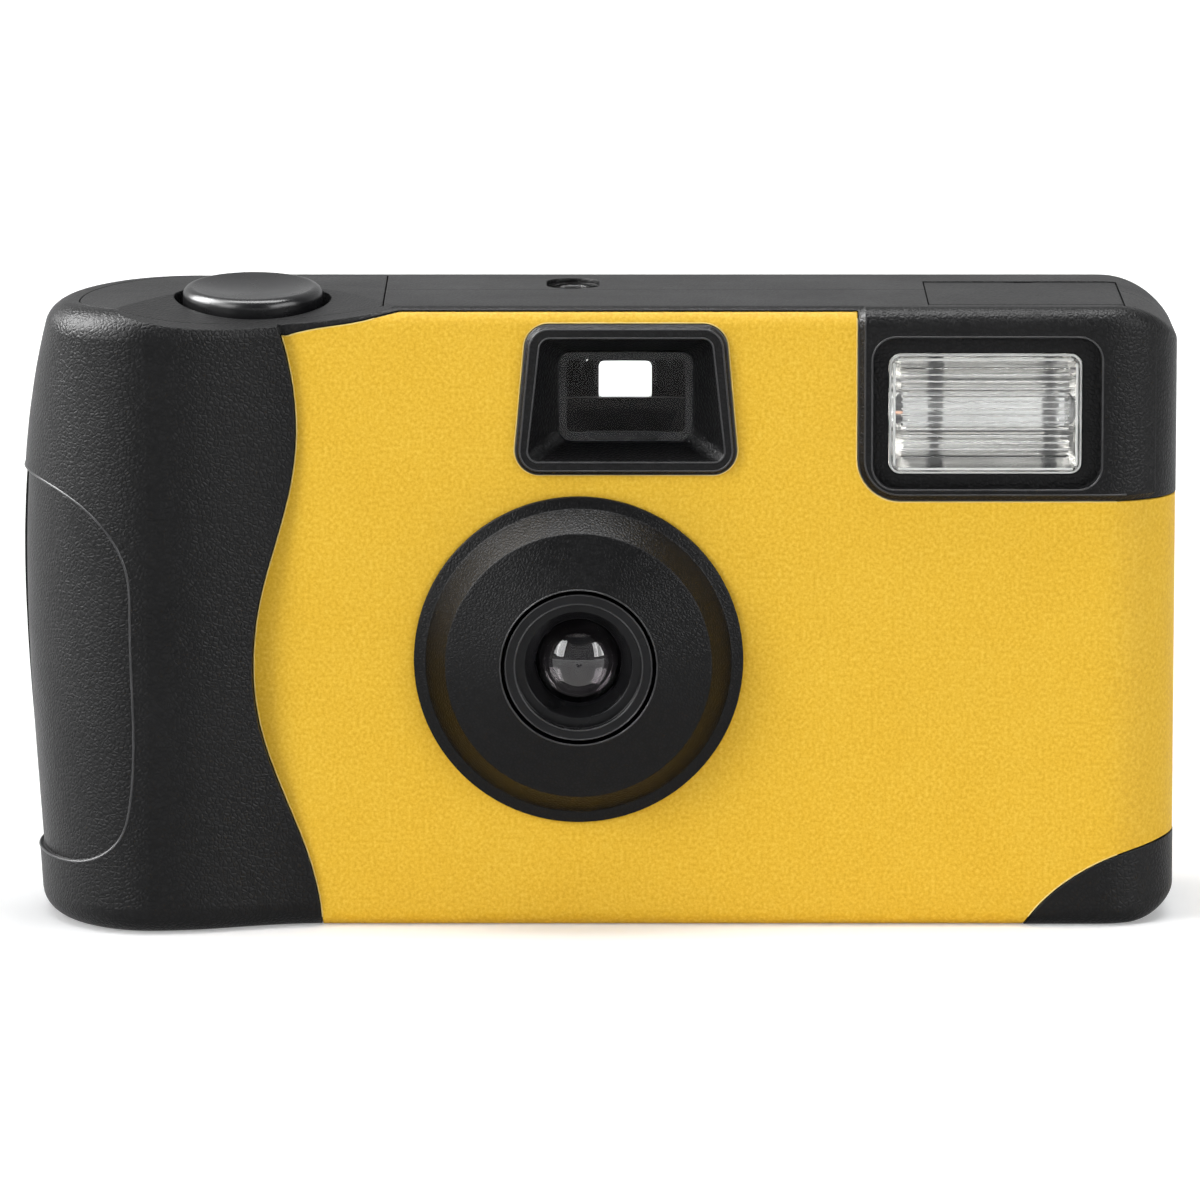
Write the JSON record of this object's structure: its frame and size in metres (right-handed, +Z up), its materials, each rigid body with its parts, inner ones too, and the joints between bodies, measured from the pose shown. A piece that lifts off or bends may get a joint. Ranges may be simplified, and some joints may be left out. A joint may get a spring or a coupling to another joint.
{
  "type": "single-use film camera",
  "caption": "Compact single-use film camera with card wrap, flash, thumbwheel advance, viewfinder and shutter mechanism.",
  "frame": {"origin": "centre of the base's outline, on the plane it stands on", "axes": "+X to the flash end as seen from the front, -Y out of the lens, +Z up to the shutter button"},
  "size_m": [0.1167, 0.0342, 0.0645],
  "materials": {
    "black_plastic": "fine moulded grain",
    "smooth_black": "smooth moulding",
    "yellow_card": "printed card, uncoated",
    "clear_plastic": "clear moulding",
    "lens_plastic": "polished",
    "grey_plastic": "inner moulding",
    "white_plastic": "inner moulding",
    "blackened_metal": "blackened",
    "spring_steel": "bare",
    "copper": "copper colour",
    "bright_aluminium": "polished",
    "tube_glass": "clear",
    "circuit_green": "solder resist",
    "capacitor_sleeve": "shrink sleeve",
    "ferrite": "ferrite",
    "film_base": "film",
    "cartridge_metal": "plain lacquer",
    "battery_sleeve": "plain sleeve",
    "orange_lamp": "tinted"
  },
  "bodies": {
    "camera": {"front_cover": "black_plastic", "rear_cover": "black_plastic", "top_cover": "black_plastic", "label_wrap": "yellow_card", "lens_ring": "black_plastic", "lens_holder": "smooth_black", "taking_lens": "lens_plastic", "aperture_plate": "blackened_metal", "viewfinder_objective": "clear_plastic", "viewfinder_eyepiece": "clear_plastic", "counter_window": "clear_plastic", "sync_contact": "spring_steel", "main_frame": "grey_plastic", "film_cartridge": "cartridge_metal", "film_strip": "film_base", "flash_window": "clear_plastic", "flash_reflector": "bright_aluminium", "flash_tube": "tube_glass", "flash_board": "circuit_green", "flash_capacitor": "capacitor_sleeve", "flash_transformer": "ferrite", "trigger_coil": "copper", "ready_lamp": "orange_lamp", "battery_cell": "battery_sleeve", "battery_contact_lower": "spring_steel", "battery_contact_upper": "spring_steel"},
    "button": {"shutter_button": "smooth_black"},
    "release": {"release_lever": "white_plastic"},
    "advance": {"thumbwheel": "black_plastic", "cartridge_spool": "grey_plastic"},
    "sprocket": {"sprocket_shaft": "white_plastic"},
    "supply": {"supply_spool": "grey_plastic", "film_roll": "film_base"},
    "counter": {"counter_dial": "white_plastic"},
    "striker": {"striker_lever": "white_plastic"},
    "blade": {"shutter_blade": "blackened_metal"},
    "door": {"battery_door": "black_plastic"}
  },
  "joints": [
    {"name": "shutter_press", "type": "slide", "parent": "camera", "child": "button", "axis": [0, 0.0941, -0.9956], "range_m": [0, 0.0014], "stiffness_N_per_m": 300},
    {"name": "release_swing", "type": "hinge", "parent": "camera", "child": "release", "pos_m": [-0.0236, -0.0018, 0.0571], "axis": [0, -1, 0], "range_deg": [0, 6.85]},
    {"name": "film_advance", "type": "hinge", "parent": "camera", "child": "advance", "pos_m": [-0.0393, 0.0013, 0.0529], "axis": [0, 0, 1], "continuous": true},
    {"name": "sprocket_turn", "type": "hinge", "parent": "camera", "child": "sprocket", "pos_m": [-0.0195, 0.00665, 0.05], "axis": [0, 0, 1], "continuous": true},
    {"name": "supply_turn", "type": "hinge", "parent": "camera", "child": "supply", "pos_m": [0.0276, 0.0032, 0.0274], "axis": [0, 0, 1], "continuous": true},
    {"name": "counter_turn", "type": "hinge", "parent": "camera", "child": "counter", "pos_m": [-0.009, 0.0048, 0.0598], "axis": [0, 0, 1], "continuous": true},
    {"name": "striker_swing", "type": "hinge", "parent": "camera", "child": "striker", "pos_m": [-0.0183, -0.0013, 0.052], "axis": [0, 0, 1], "range_deg": [0, 50]},
    {"name": "blade_swing", "type": "hinge", "parent": "camera", "child": "blade", "pos_m": [-0.0118, -0.0085, 0.0385], "axis": [0, 1, 0], "range_deg": [0, 24.05]},
    {"name": "door_swing", "type": "hinge", "parent": "camera", "child": "door", "pos_m": [0.0428, -0.0087, 0.06212], "axis": [1, 0, 0], "range_deg": [0, 95]}
  ],
  "couplings": [
    {"joint": "release_swing", "follows": "shutter_press", "rad_per_m": 84.773},
    {"joint": "sprocket_turn", "follows": "film_advance", "ratio": 1.4},
    {"joint": "supply_turn", "follows": "film_advance", "ratio": 1.02},
    {"joint": "counter_turn", "follows": "film_advance", "ratio": -0.046667},
    {"joint": "blade_swing", "follows": "striker_swing", "ratio": 0.48}
  ]
}
